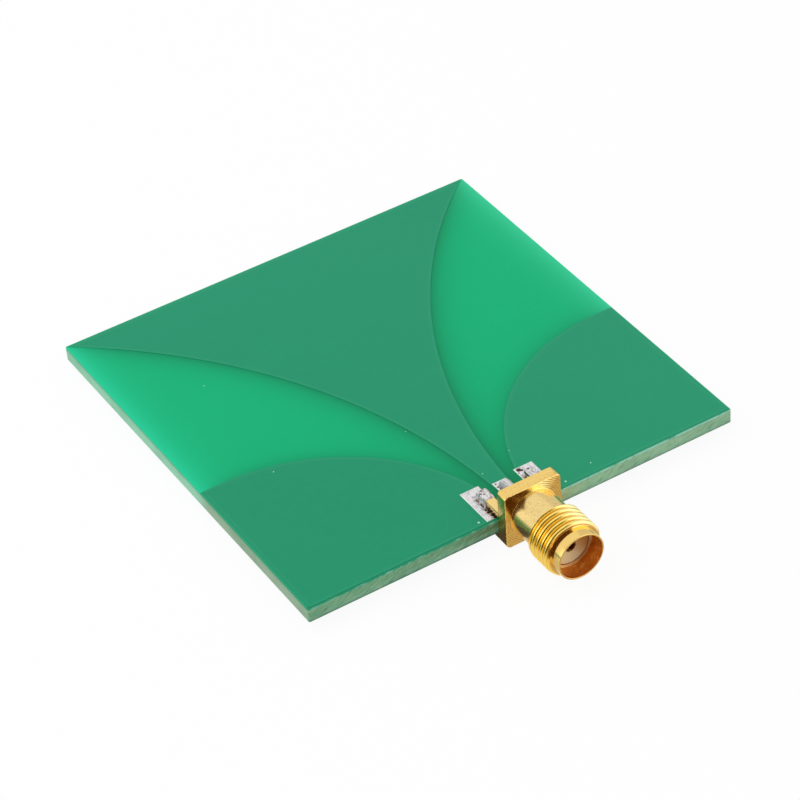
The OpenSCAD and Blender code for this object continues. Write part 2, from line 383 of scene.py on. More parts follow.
def laminateFinish():
    looks = laminate
    edge = Finish("sawnLaminate", {"Specular IOR Level": looks["specular"], "IOR": 1.5})
    run = edge.x + edge.y
    upright = math.hypot(1.0, looks["streakRise"])
    over = (edge.z - run * looks["streakRise"]) * (looks["streakFine"] / upright)
    along = (run + edge.z * looks["streakRise"]) * (looks["streakLong"] / upright)
    streaks = edge.cloud(1.0, 4.0, edge.join(over, along, 0.0), 0.6)
    broad = edge.cloud(1.0, 2.0, edge.join(run * 0.3, edge.z * 0.4, 3.0))
    depth = (boardHigh.z - edge.z) / (boardHigh.z - boardLow.z)
    ply = edge.calc("SINE", depth * (math.tau * looks["plies"]) + streaks * 3.0)

    onFront = edge.step(edge.y, frontEdge + 0.3, frontEdge + 0.1)
    onRight = edge.step(edge.x, *looks["rightFrom"])
    nearJack = edge.step(edge.x, *looks["shadeFrom"]) * (1.0 - onRight)
    bareSide = edge.step(edge.y - frontEdge, board["groundRadius"] - 2.0, board["groundRadius"] + 1.0)
    front = edge.layered(
        looks["front"],
        (onRight, looks["frontRight"]),
        (onRight * edge.step(edge.x, *looks["nearTo"]), looks["frontRightNear"]),
        (nearJack, looks["frontShade"]),
    )
    side = edge.mix(bareSide, looks["side"], looks["sideBare"])
    colour = edge.mix(onFront, side, front)
    below = boardHigh.z - edge.z
    fromFloor = edge.z - boardLow.z
    bands = (
        (looks["lacquered"], below, 1.0 - onFront),
        (looks["lacqueredFront"], below, onFront),
        (looks["lowLight"], abs(fromFloor - looks["lowLightRise"]), onFront),
        (looks["lowest"], fromFloor, onFront),
    )
    for (shade, reach, share), distance, where in bands:
        colour = edge.mix(edge.fade(distance, reach) * where * share, colour, shade)
    worn = looks["wear"] + onFront * (looks["wearFront"] - looks["wear"])
    colour = edge.layered(
        colour,
        # painted highlight along the front edge's top
        (edge.fade(below, looks["glintReach"]) * onFront * glints(edge), lacquer["glint"]),
        (edge.step(streaks, *looks["streakDarkFrom"]) * worn, looks["streakDark"]),
        (edge.step(streaks, *looks["streakLightFrom"]) * worn, looks["streakLight"]),
        (edge.step(ply, 0.4, 1.0) * looks["plyShare"], looks["streakDark"]),
        (edge.step(broad, 0.45, 0.75) * looks["blotchShare"], looks["streakDark"]),
    )
    edge.set({
        "Base Color": colour,
        "Roughness": looks["roughness"] + streaks * looks["unevenness"],
        "Normal": edge.bump(streaks + ply * 0.1, 0.4, looks["relief"]),
    })
    return edge.material


copper = {
    "clean": tone(150, 96, 58),
    "stained": tone(118, 78, 52),
    "grain": tone(190, 130, 88), "grainShare": 0.3,
    "grainScale": 6.0, "stainScale": 0.5,
    "roughness": 0.35, "unevenness": 0.25, "relief": 0.01,
}


def copperFinish():
    foil = Finish("copperFoil", {"Metallic": 1.0})
    grain = foil.cloud(copper["grainScale"], 4.0)
    stain = foil.cloud(copper["stainScale"], 3.0)
    colour = foil.layered(
        copper["clean"],
        (foil.step(stain, 0.35, 0.65), copper["stained"]),
        (grain * copper["grainShare"], copper["grain"]),
    )
    foil.set({
        "Base Color": colour,
        "Roughness": copper["roughness"] + grain * copper["unevenness"],
        "Normal": foil.bump(grain, 0.3, copper["relief"]),
    })
    return foil.material


tin = {
    "bright": tone(230, 227, 227),
    # also painted shade on the solder's slopes
    "dullAndShade": tone(168, 168, 172),
    # painted highlight along a pad's round rim
    "rim": tone(250, 250, 248),
    # also painted shade in pits and in the slit beside a leg
    "soot": tone(34, 25, 18),
    "flux": tone(124, 80, 42), "fluxShare": 0.8,
    "greyShare": 0.25,
    "lumpScale": 2.2, "frostScale": 9.0, "speckle": 0.9,
    "dullFrom": (0.44, 0.74), "fluxFrom": (0.25, 0.45), "sootFrom": (0.5, 0.75),
    "metallic": 0.3, "metallicLoss": 0.15,   # burnt flux, and the painted shade in pits and the slit, take the metal's look away
    "roughness": 0.36, "dullRough": 0.14, "sootRough": 0.2,
    "relief": 0.03,
}


def tinFinish():
    # the attributes are painted on each joint's mesh; besides soot and dull solder they carry painted
    # shade and a painted highlight
    coat = Finish("frostedTin", {})
    lumps = coat.cloud(tin["lumpScale"], 3.0, None, 0.6)
    frost = coat.cloud(tin["frostScale"], 4.0, None, 0.6)
    drawn = coat.cloud(1.0, 3.0, coat.join(coat.x * 7.0, coat.y * 1.4, coat.z * 2.0), 0.6)
    sootAndShade, pale, greyAndShade = (coat.painted(name) for name in ("sootAndShade", "pale", "greyAndShade"))
    uneven = lumps * 0.4 + drawn * 0.6 + (frost - 0.5) * 0.6
    dullAndShade = coat.step(uneven + greyAndShade * tin["greyShare"], *tin["dullFrom"])
    speckled = sootAndShade + (frost - 0.5) * tin["speckle"]
    flux = coat.step(speckled, *tin["fluxFrom"])
    soot = coat.step(speckled, *tin["sootFrom"])
    colour = coat.layered(
        tin["bright"],
        (dullAndShade, tin["dullAndShade"]),
        (pale, tin["rim"]),
        (flux * tin["fluxShare"], tin["flux"]),
        (soot, tin["soot"]),
    )
    coat.set({
        "Base Color": colour,
        "Metallic": tin["metallic"] - flux * tin["metallicLoss"] - soot * tin["metallicLoss"],
        "Roughness": tin["roughness"] + dullAndShade * tin["dullRough"] + soot * tin["sootRough"],
        "Normal": coat.bump(frost * 0.35 + lumps * 0.6 + drawn * 0.5, 0.5, tin["relief"]),
    })
    return coat.material


gold = {
    "plate": tone(243, 207, 122),
    "faceLight": tone(254, 236, 158),    # painted highlight on the flange's face above the neck
    # borders of that highlight, each as the place where it begins and the place where it is full
    "faceGlareLeft": (-0.9, 0.3), "faceGlareRight": (2.3, 1.4),
    "faceGlareReach": (4.1, 3.2), "faceGlareRise": (1.2, 2.0),
    "neck": tone(241, 212, 140),
    "leg": tone(240, 210, 136),
    # painted shade on the leg's inner side
    "legInsideShade": tone(104, 92, 50),
    # orange, as painted reflection of the gold bore walls in one another
    "bore": tone(232, 154, 72),
    "boreLight": tone(250, 190, 104), "boreLightFrom": (0.54, 0.68),
    "boreDark": tone(216, 138, 60), "boreDarkFrom": (0.44, 0.32),
    "seat": tone(255, 240, 190),         # step round the insulator, painted pale as a highlight
    "gap": tone(176, 104, 34),           # shade between the step and the insulator
    # the thread is painted more orange on the left and paler on the right, as painted reflection
    "ridgeLeft": tone(255, 222, 112),
    "ridgeRight": tone(246, 222, 150), "ridgeRightFrom": (-1.2, 1.8),
    "groove": tone(182, 100, 6), "grooveShare": 0.8,   # painted shade in the bottom of the thread
    # the centre contact deep in the bore, darker as painted shade
    "contact": tone(150, 96, 56),
    "fleck": tone(150, 96, 40),
    "flecks": 0.06, "neckFlecks": 0.5, "satinFlecks": 0.6, "flecksFrom": (0.53, 0.68),
    "grainScale": 9.0, "dappleScale": 2.4,
    "stain": tone(128, 76, 34), "stainShare": 0.8,     # burnt flux at the foot of a leg
    "turnedLines": 4.3, "turnedShare": 0.55,           # lathe marks, so many to the millimetre
    "markDepth": 0.004,
    # roughness of bare plating, and what a part adds to it
    "roughness": 0.06, "grainRough": 0.04, "satinRough": 0.16, "neckRough": 0.14, "wallRough": 0.34,
    "contactRough": 0.3, "seatRough": 0.4, "threadRough": 0.17, "ringRough": 0.1,
}


def goldFinish():
    plate = Finish("goldPlating", {"Metallic": 1.0})
    reach = plate.root(plate.x ** 2 + plate.z ** 2)
    grain = plate.cloud(gold["grainScale"], 3.0, None, 0.6)
    dapple = plate.cloud(gold["dappleScale"], 3.0)
    swirl = plate.cloud(1.0, 2.0, plate.join(reach * 9.0, plate.y * 7.0, plate.x * 0.4), 0.6)

    # parts are told apart by their place, with borders a few hundredths of a millimetre wide
    legInner = flangeHalf - jack["legWidth"]
    behind = plate.step(plate.y, flangeRear + 0.01, flangeRear + 0.05)
    inside = plate.step(abs(plate.x), legInner + 0.04, legInner)
    onFlange = plate.step(plate.y, flangeFront - 0.06, flangeFront - 0.02) * (1.0 - behind)
    face = plate.step(abs(plate.y - flangeFront), 0.05, 0.02)
    onNeck = plate.step(plate.y, threadRear - 0.02, threadRear + 0.02)
    onNeck = onNeck * (1.0 - onFlange) * (1.0 - behind)
    inMouth = plate.step(reach, boreRadius + 0.04, boreRadius + 0.01) * plate.step(plate.y, 0.3, 0.1)
    onWall = inMouth * plate.step(plate.y, -0.02, -0.1)
    onGap = inMouth * plate.step(reach, jack["seatRadius"] + 0.13, jack["seatRadius"] + 0.08)
    inThread = plate.step(plate.y, threadRear, threadRear - 0.1)
    inThread = inThread * plate.step(plate.y, threadFront, threadFront + 0.1)
    inGroove = inThread * plate.step(reach, rootRadius + 0.14, rootRadius + 0.02) * (1.0 - inMouth)
    onContact = plate.step(reach, 0.8, 0.75) * (1.0 - behind)
    onRing = plate.step(plate.y, threadFront, threadFront - 0.02) * (1.0 - inMouth)
    satin = onFlange * (1.0 - face)

    faceGlare = face
    borders = (
        (plate.x, "faceGlareLeft"), (plate.x, "faceGlareRight"),
        (reach, "faceGlareReach"), (plate.z, "faceGlareRise"),
    )
    for place, border in borders:
        faceGlare = faceGlare * plate.step(place, *gold[border])
    fromBoard = plate.higher(plate.z - maskTop, boardLow.z - plate.z)
    foot = behind * (1.0 - inside) * plate.step(fromBoard + dapple * 0.9, 1.1, 0.5)
    onRight = plate.step(plate.x, *gold["ridgeRightFrom"])
    ridge = plate.mix(onRight, gold["ridgeLeft"], gold["ridgeRight"])
    wall = plate.layered(
        gold["bore"],
        (plate.step(dapple, *gold["boreLightFrom"]), gold["boreLight"]),
        (plate.step(dapple, *gold["boreDarkFrom"]), gold["boreDark"]),
    )
    flecks = plate.step(grain * 0.7 + dapple * 0.3, *gold["flecksFrom"])
    fleckShare = gold["flecks"] + onNeck * gold["neckFlecks"] + satin * gold["satinFlecks"]
    turned = plate.calc("SINE", reach * (math.tau * gold["turnedLines"]) + swirl * 0.8 + dapple * 1.5)
    cut = plate.step(turned, 0.1, 0.9) * face * plate.step(dapple, 0.35, 0.65)
    # painted light and shade among these: the highlight on the face and the seat, shade on the leg's
    # inner side, in the thread's bottom and on the contact, and reflections in the thread and the
    # bore
    colour = plate.layered(
        gold["plate"],
        (onNeck, gold["neck"]),
        (faceGlare, gold["faceLight"]),
        (behind, gold["leg"]),
        (behind * inside, gold["legInsideShade"]),
        (foot * gold["stainShare"], gold["stain"]),
        (inThread * (1.0 - inMouth), ridge),
        (inGroove * gold["grooveShare"], gold["groove"]),
        (inMouth, gold["seat"]),
        (onWall, wall),
        (onGap, gold["gap"]),
        (onContact, gold["contact"]),
        (flecks * fleckShare, gold["fleck"]),
        (cut * gold["turnedShare"], gold["fleck"]),
    )
    marks = turned * face * 0.7 + swirl * (0.2 + face * 0.5)
    marks = marks + grain * (0.2 + satin * 1.0 + onNeck * 0.4)
    onSeat = inMouth - onWall
    soft = satin * gold["satinRough"] + onNeck * gold["neckRough"] + onWall * gold["wallRough"]
    soft = soft + onContact * gold["contactRough"] + onSeat * gold["seatRough"]
    soft = soft + inThread * gold["threadRough"] + onRing * gold["ringRough"]
    plate.set({
        "Base Color": colour,
        "Roughness": gold["roughness"] + soft + grain * gold["grainRough"],
        "Normal": plate.bump(marks, 0.8, gold["markDepth"]),
    })
    return plate.material


insulator = {
    # orange-brown: the white insulator with painted shade and orange light from the gold bore
    "face": tone(200, 140, 76),
    "cloudy": tone(190, 130, 68),
    "turned": tone(212, 156, 94), "turnedShare": 0.25,
    "lowerLeft": tone(255, 242, 190),   # catches the light from the mouth
    "lowerLeftFrom": (1.6, -2.4),
    "ringScale": 7.0, "cloudScale": 0.9,
    "specular": 0.3, "roughness": 0.4, "unevenness": 0.2, "relief": 0.02,
}


def insulatorFinish():
    wax = Finish("waxyInsulator", {"Specular IOR Level": insulator["specular"], "IOR": 1.38})
    reach = wax.root(wax.x ** 2 + wax.z ** 2)
    rings = wax.cloud(1.0, 3.0, wax.join(reach * insulator["ringScale"], 0.0, 0.0), 0.6)
    cloud = wax.cloud(insulator["cloudScale"], 2.0)
    colour = wax.layered(
        insulator["face"],
        (wax.step(cloud, 0.3, 0.7), insulator["cloudy"]),
        (rings * insulator["turnedShare"], insulator["turned"]),
        (wax.step(wax.x + wax.z, *insulator["lowerLeftFrom"]), insulator["lowerLeft"]),
    )
    wax.set({
        "Base Color": colour,
        "Roughness": insulator["roughness"] + rings * insulator["unevenness"],
        "Normal": wax.bump(rings, 0.3, insulator["relief"]),
    })
    return wax.material


def dress(node, material):
    # a solid that keeps its own shape takes the finish on its material slots
    mesh = nodes[node].data
    if not mesh.materials:
        mesh.materials.append(material)
    for index in range(len(mesh.materials)):
        mesh.materials[index] = material


def addPiece(name, mesh, material, slot, *replaced):
    mesh.materials.clear()
    mesh.materials.append(material)
    piece = bpy.data.objects.new(name, mesh)
    scene.collection.objects.link(piece)
    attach(piece, "root")
    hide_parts(*replaced)


def around(count):
    # neighbours on a closed ring
    return [(here, (here + 1) % count) for here in range(count)]


def smoothMesh(shell, name):
    for flat in shell.faces:
        flat.smooth = True
    mesh = bpy.data.meshes.new(name)
    shell.to_mesh(mesh)
    shell.free()
    return mesh


# jack: sizes that the frame's boxes don't give
threadRadius = mounts["jack_thread"]["r_mm"]
boreRadius = mounts["jack_bore"]["r_mm"]
jack = {
    "columns": 240,
    "flangeThick": 1.4,
    "flangeRound": 0.5,
    "edgeBreak": 0.07,
    "neckRadius": 2.65,
    "neckFillet": 0.03,
    "neckLength": 3.4,
    "threadLength": 3.6,
    "ringRadius": 2.625,
    "rimBreak": 0.05,
    "mouthBevel": 0.05,
    "seatRadius": 2.06,     # inner bore that holds the insulator
    "legWidth": 1.0,
    "legHeight": 1.0,
    "lowLegTop": -2.105,
    "legBreak": 0.05,
    "legInset": 0.012,      # a leg's side lies just inside the flange's
    "roundSteps": 4, "cornerSteps": 6,
    "sharpAngle": 34.0,     # degrees from which an edge is kept sharp
}
ridges = {"pitch": 25.4 / 36, "depth": 0.32, "rowsPerTurn": 24, "flat": 0.03, "crestPower": 1.6}
weld = 1e-6  # corners closer than this, in metres, become one
sharpTurn = math.radians(jack["sharpAngle"])

flangeRear = frontEdge
flangeFront = flangeRear - jack["flangeThick"]
threadRear = flangeFront - jack["neckLength"]
threadFront = threadRear - jack["threadLength"]
rimFront = jackLow.y
flangeHalf = jackHigh.x
rootRadius = threadRadius - ridges["depth"]


def ridgeTree(material):
    # a grid sheared by one pitch and rolled up, so that its rows follow the screw
    tree = bpy.data.node_groups.new("screwRidges", "GeometryNodeTree")
    kinds = {
        "Columns": "NodeSocketInt", "Rows": "NodeSocketInt", "Crest Radius": "NodeSocketFloat",
        "Depth": "NodeSocketFloat", "Pitch": "NodeSocketFloat", "Start": "NodeSocketFloat",
        "Length": "NodeSocketFloat", "Travel": "NodeSocketFloat", "Flat": "NodeSocketFloat",
    }
    for label, kind in kinds.items():
        tree.interface.new_socket(label, in_out="INPUT", socket_type=kind)
    tree.interface.new_socket("Mesh", in_out="OUTPUT", socket_type="NodeSocketGeometry")
    bench = Bench(tree)
    inlet = tree.nodes.new("NodeGroupInput")
    given = {label: Wire(bench, inlet.outputs[label]) for label in kinds}

    counts = {"Vertices X": given["Columns"], "Vertices Y": given["Rows"]}
    grid = bench.node("GeometryNodeMeshGrid", None, {**counts, "Size X": 1.0, "Size Y": 1.0})
    across, down, _ = bench.split(bench.node("GeometryNodeInputPosition"))
    turn = across + 0.5
    screw = (down + 0.5) * given["Travel"]
    run = bench.lower(bench.higher(screw - turn * given["Pitch"], 0.0), given["Length"])
    phase = bench.calc("FRACT", (run + turn * given["Pitch"]) / given["Pitch"])
    fromCrest = abs(phase * 2.0 - 1.0)
    slope = (fromCrest - given["Flat"]) / (1.0 - given["Flat"] * 2.0)
    slope = bench.lower(bench.higher(slope, 0.0), 1.0)
    wave = bench.calc("COSINE", slope ** ridges["crestPower"] * math.pi)  # round crest and root
    drop = (0.5 - wave * 0.5) * given["Depth"]
    lead = bench.lower(run, given["Length"] - run)  # both ends are turned down to the root
    radius = bench.lower(given["Crest Radius"] - drop, given["Crest Radius"] - given["Depth"] + lead)
    angle = turn * -math.tau  # right-handed
    rolled = bench.join(
        bench.calc("COSINE", angle) * radius,
        given["Start"] + run,
        bench.calc("SINE", angle) * radius,
    )
    shaped = bench.node("GeometryNodeSetPosition", None, {"Geometry": grid, "Position": rolled})
    welded = bench.node("GeometryNodeMergeByDistance", None, {"Geometry": shaped, "Distance": weld})
    real = bench.node("GeometryNodeRealizeInstances", None, {"Geometry": welded})
    coated = bench.node("GeometryNodeSetMaterial", None, {"Geometry": real, "Material": material})
    outlet = tree.nodes.new("NodeGroupOutput")
    bench.feed(outlet.inputs["Mesh"], coated)
    return tree


def grown(tree, values):
    # runs a tree on an empty mesh and gives back the plain mesh
    host = bpy.data.objects.new("host", bpy.data.meshes.new("host"))
    scene.collection.objects.link(host)
    modifier = host.modifiers.new("tree", "NODES")
    modifier.node_group = tree
    inputs = [item for item in tree.interface.items_tree if item.in_out == "INPUT"]
    keys = {item.name: item.identifier for item in inputs}
    for label, value in values.items():
        modifier[keys[label]] = value
    depsgraph = bpy.context.evaluated_depsgraph_get()
    mesh = bpy.data.meshes.new_from_object(host.evaluated_get(depsgraph))
    host.modifiers.remove(modifier)
    bpy.data.objects.remove(host)
    return mesh


angles = np.arange(jack["columns"]) * math.tau / jack["columns"]


def roundRing(radius):
    return np.full(len(angles), radius)


def squareRing(half, corner):
    # distance from the axis to a square with round corners, at each angle
    cosine, sine = np.abs(np.cos(angles)), np.abs(np.sin(angles))
    flat = half / np.maximum(cosine, sine)
    core = half - corner
    bend = np.sqrt(np.maximum(corner ** 2 - core ** 2 * (cosine - sine) ** 2, 0))
    onCorner = np.minimum(cosine, sine) * flat > core
    return np.where(onCorner, core * (cosine + sine) + bend, flat)


def loft(shell, rings):
    # a band of quads through rings of (station, radii)
    rows = []
    for station, radii in rings:
        spots = zip(radii * np.cos(angles), radii * np.sin(angles))
        rows.append([shell.verts.new((x * mm, station * mm, z * mm)) for x, z in spots])
    for first, second in zip(rows, rows[1:]):
        for here, there in around(len(angles)):
            shell.faces.new((first[here], first[there], second[there], second[here]))


def quarterTurn():
    # sine and cosine along a quarter circle
    steps = jack["roundSteps"]
    turns = [index / steps * math.pi / 2 for index in range(steps + 1)]
    return [(math.sin(turn), math.cos(turn)) for turn in turns]


def bevelRings(station, inward):
    # quarter-round break of a flange edge, from its flat face to its side
    size, corner = jack["edgeBreak"], jack["flangeRound"]
    made = []
    for sine, cosine in quarterTurn():
        inset = size * (1 - sine)
        radii = squareRing(flangeHalf - inset, corner - inset * 0.5)
        made.append((station + inward * size * (1 - cosine), radii))
    return made


def legOutline(low, high):
    # section of a right leg; where it meets the flange's round corner it follows it
    outer = flangeHalf - jack["legInset"]
    inner = flangeHalf - jack["legWidth"]
    corner = jack["flangeRound"]
    core = outer - corner
    outline = [(inner, high), (inner, low)]
    if low < -core:
        start = math.asin((low + core) / corner)
        for index in range(jack["cornerSteps"] + 1):
            turn = start * (1 - index / jack["cornerSteps"])
            outline.append((core + corner * math.cos(turn), -core + corner * math.sin(turn)))
    else:
        outline.append((outer, low))
    outline.append((outer, high))
    return outline


def addLeg(shell, side, low, high):
    bar = bmesh.new()
    front, rear = flangeRear - jack["flangeThick"] / 2, jackHigh.y
    outline = [(side * x, z) for x, z in legOutline(low, high)]
    near = [bar.verts.new((x * mm, front * mm, z * mm)) for x, z in outline]
    end = [bar.verts.new((x * mm, rear * mm, z * mm)) for x, z in outline]
    bar.faces.new(near)
    bar.faces.new(end[::-1])
    for here, there in around(len(outline)):
        bar.faces.new((near[here], end[here], end[there], near[there]))
    bmesh.ops.recalc_face_normals(bar, faces=bar.faces)
    sharp = [edge for edge in bar.edges if edge.calc_face_angle() > sharpTurn]
    bmesh.ops.bevel(
        bar, geom=sharp, offset=jack["legBreak"] * mm, offset_type="OFFSET", segments=2,
        profile=0.5, affect="EDGES",
    )
    mesh = smoothMesh(bar, "leg")
    shell.from_mesh(mesh)
    bpy.data.meshes.remove(mesh)


def barrelRings():
    # stations and radii from the thread's front end round the rim to the inner bore's rear
    ring, rim, mouth = jack["ringRadius"], jack["rimBreak"], jack["mouthBevel"]
    spots = [(threadFront, rootRadius), (threadFront, ring)]
    for sine, cosine in quarterTurn():
        spots.append((rimFront + rim * (1 - sine), ring - rim * (1 - cosine)))
    for sine, cosine in quarterTurn():
        spots.append((rimFront + mouth * (1 - cosine), boreRadius + mouth * (1 - sine)))
    spots += [(0.0, boreRadius), (0.0, jack["seatRadius"]), (flangeRear, jack["seatRadius"])]
    return [(station, roundRing(radius)) for station, radius in spots]


def flangeRings():
    # from the inner bore's rear over the flange and the neck to the thread's rear end
    neck, fillet = jack["neckRadius"], jack["neckFillet"]
    rings = [(flangeRear, roundRing(jack["seatRadius"]))]
    rings += bevelRings(flangeRear, -1)
    rings += bevelRings(flangeFront, 1)[::-1]
    for sine, cosine in quarterTurn():
        rings.append((flangeFront - fillet * (1 - cosine), roundRing(neck + fillet * (1 - sine))))
    return rings + [(threadRear, roundRing(neck)), (threadRear, roundRing(rootRadius))]


def jackMesh(material):
    pitch, length = ridges["pitch"], jack["threadLength"]
    turns = math.ceil(length / pitch) + 1
    ridgeMesh = grown(ridgeTree(material), {
        "Columns": jack["columns"] + 1,
        "Rows": turns * ridges["rowsPerTurn"] + 1,
        "Crest Radius": threadRadius * mm,
        "Depth": ridges["depth"] * mm,
        "Pitch": pitch * mm,
        "Start": threadFront * mm,
        "Length": length * mm,
        "Travel": turns * pitch * mm,
        "Flat": ridges["flat"],
    })
    shell = bmesh.new()
    shell.from_mesh(ridgeMesh)
    loft(shell, flangeRings())
    loft(shell, barrelRings())
    bmesh.ops.remove_doubles(shell, verts=shell.verts, dist=weld)
    bmesh.ops.recalc_face_normals(shell, faces=shell.faces)
    openEdges = sum(1 for edge in shell.edges if not edge.is_manifold)
    for edge in shell.edges:
        if edge.is_manifold and edge.calc_face_angle() > sharpTurn:
            edge.smooth = False
    for side in (-1, 1):
        addLeg(shell, side, maskTop, maskTop + jack["legHeight"])
        addLeg(shell, side, jack["lowLegTop"] - jack["legHeight"], jack["lowLegTop"])
    mesh = smoothMesh(shell, "goldJack")
    print("jack body:", len(mesh.polygons), "faces,", openEdges, "open edges")
    return mesh


# solder: each joint is a height field over its pad
joint = {
    "cell": 0.035,
    "padIn": 2.075, "padOut": 4.275, "padNear": 8.1, "padFar": 13.1,
    "legIn": 2.275, "legOut": 3.275, "legEnd": 11.4,
    "tin": 0.07,
    "roundOff": 0.1,      # width of the tinned pad's round rim
    "rimHeight": 0.35,    # share of the height that is left at the rim
    "cap": 1.55,          # length of the leg's end that is covered
    "capThick": 0.07,
    "overhang": 0.17,     # how far the covered end bulges past the leg
    "ridge": 0.13, "ridgeAway": 0.38, "ridgeWide": 0.24,   # solder drawn up beside the leg
    "lump": 0.05,
    "slit": 0.055,        # gap that stayed open beside the leg, painted dark as shade
}


def wobble(x, y, size, seed):
    # smooth noise, about -1 to 1, in waves of this size
    return noise.noise(Vector((x / size + seed * 7.3, y / size - seed * 3.1, seed * 1.7)))


def bell(distance, width):
    return math.exp(-(distance / width) ** 2)


def legSolderSpot(x, y, top, look):
    # height and the shares of soot with painted shade and of dull grey solder with painted shade, at
    # a spot of a right-hand joint
    sizes, seed = joint, look["seed"]
    beyond = max(y - sizes["legEnd"], 0.0)
    outward = max(x - sizes["legOut"], 0.0)
    inward = max(sizes["legIn"] - x, 0.0)
    away = math.hypot(max(outward, inward), beyond)
    rough = wobble(x, y, 0.42, seed) + 0.6 * wobble(x, y, 0.2, seed + 3)
    bulge = sizes["overhang"] * (0.85 + 0.5 * wobble(x, y, 0.5, seed + 7))
    if inward > 0:
        bulge *= look["innerBulge"]
    start = sizes["legEnd"] - sizes["cap"] + 0.3 * wobble(x, y, 0.5, seed + 9)
    height = sizes["tin"] + 0.012 * wobble(x, y, 0.8, seed + 5) + 0.008 * rough
    onRidge = bell(away - sizes["ridgeAway"] - 0.12 * wobble(x, y, 0.9, seed + 4), sizes["ridgeWide"])
    onRidge *= (outward > 0 or beyond > 0) * max(0.75 + 0.6 * wobble(x, y, 0.7, seed + 6), 0.0)
    height += sizes["ridge"] * onRidge
    # the solder drawn up beside the leg is painted greyer, as shade on its slope
    greyAndShade, sootAndShade = 0.8 * onRidge, 0.0
    covered = y > start
    if covered and away < bulge:
        side = math.sqrt(max(1 - (away / bulge) ** 2, 0.0)) if away > 0 else 1.0
        ramp = min((y - start) / 0.2, 1.0)
        cap = top + sizes["capThick"] * ramp + sizes["lump"] * rough
        height = max(height, cap * (0.2 + 0.8 * side))
        # greyer towards the cap's sides, partly as painted shade
        greyAndShade = 0.35 + 0.6 * wobble(x, y, 0.4, seed + 17) + 0.4 * (1 - side)
        sootAndShade = max(wobble(x, y, 0.17, seed + 21) - 0.22, 0.0) * 2.4
    elif away < bulge + 3 * sizes["slit"]:
        # the open slit is painted dark as shade
        openShare = look["open"] + 1.1 * wobble(x, y, 0.4, seed + 11)
        sootAndShade = max(openShare, 0.0) * bell(away - (bulge if covered else 0.0), sizes["slit"] * 1.3)
        height *= 1 - 0.6 * min(sootAndShade, 1.0)
    # pits painted dark as shade
    for pitX, pitY, pitSize in look["pits"]:
        pit = bell(math.hypot(x - pitX, y - pitY), pitSize)
        sootAndShade = max(sootAndShade, 1.7 * pit)
        height *= 1 - 0.8 * pit * (height < top)
    return height, sootAndShade, greyAndShade


def rimShare(x, y, low, high, near, far):
    # 0 at the rim of a pad, 1 from a little way in
    inside = min(x - low, high - x, y - near, far - y) / joint["roundOff"]
    return min(max(inside, 0.0), 1.0)


def padGrid(low, high, near, far):
    wide = int((high - low) / joint["cell"]) + 1
    deep = int((far - near) / joint["cell"]) + 1
    return np.linspace(low, high, wide), np.linspace(near, far, deep)


def fieldMesh(name, xs, ys, spots, base, up, side):
    # closes a height field with a skirt and a flat floor on the pad
    shell = bmesh.new()
    layers = {label: shell.verts.layers.float.new(label) for label in ("sootAndShade", "greyAndShade", "pale")}
    low, high, near, far = xs[0], xs[-1], ys[0], ys[-1]
    rim = joint["rimHeight"]
    grid = []
    for x in xs:
        line = []
        for y in ys:
            height, sootAndShade, greyAndShade = spots(x, y)
            inside = rimShare(x, y, low, high, near, far)
            height *= rim + (1 - rim) * math.sqrt(1 - (1 - inside) ** 2)
            spot = shell.verts.new((side * x * mm, y * mm, (base + up * height) * mm))
            spot[layers["sootAndShade"]] = sootAndShade
            spot[layers["greyAndShade"]] = greyAndShade
            # painted highlight along the rim, except where it is dark
            spot[layers["pale"]] = (1 - inside) * max(1 - 2 * sootAndShade, 0.0)
            line.append(spot)
        grid.append(line)
    for column in range(len(xs) - 1):
        for row in range(len(ys) - 1):
            corners = [(0, 0), (1, 0), (1, 1), (0, 1)]
            shell.faces.new([grid[column + i][row + j] for i, j in corners])
    border = [line[0] for line in grid] + grid[-1][1:]
    border += [line[-1] for line in grid[-2::-1]] + grid[0][-2:0:-1]
    feet = [shell.verts.new((spot.co.x, spot.co.y, base * mm)) for spot in border]
    for here, there in around(len(border)):
        shell.faces.new((border[there], border[here], feet[here], feet[there]))
    shell.faces.new(feet)
    bmesh.ops.recalc_face_normals(shell, faces=shell.faces)
    return smoothMesh(shell, name)


# what each joint shows: solder on the leg's inner side, how much of the slit beside the leg is open,
# and pits as x, y and size; the open slit and the pits are painted dark as shade
legJoints = {
    "leftTopJoint": {
        "node": "left_top_solder", "side": -1, "up": 1, "seed": 1, "innerBulge": 1.0, "open": 0.9,
        "pits": [(3.46, 9.6, 0.13), (3.42, 9.15, 0.17), (3.38, 8.6, 0.13), (3.3, 8.2, 0.12)],
    },
    "rightTopJoint": {
        "node": "right_top_solder", "side": 1, "up": 1, "seed": 2, "innerBulge": 0.1, "open": 0.7,
        "pits": [(2.5, 12.7, 0.23), (2.74, 12.5, 0.13), (2.24, 12.3, 0.08), (2.72, 11.35, 0.12)],
    },
    "leftBottomJoint": {
        "node": "left_bottom_solder", "side": -1, "up": -1, "seed": 3, "innerBulge": 0.8, "open": 0.6,
        "pits": [(3.5, 9.0, 0.14)],
    },
    "rightBottomJoint": {
        "node": "right_bottom_solder", "side": 1, "up": -1, "seed": 4, "innerBulge": 0.8, "open": 0.5,
        "pits": [(3.6, 9.8, 0.12)],
    },
}


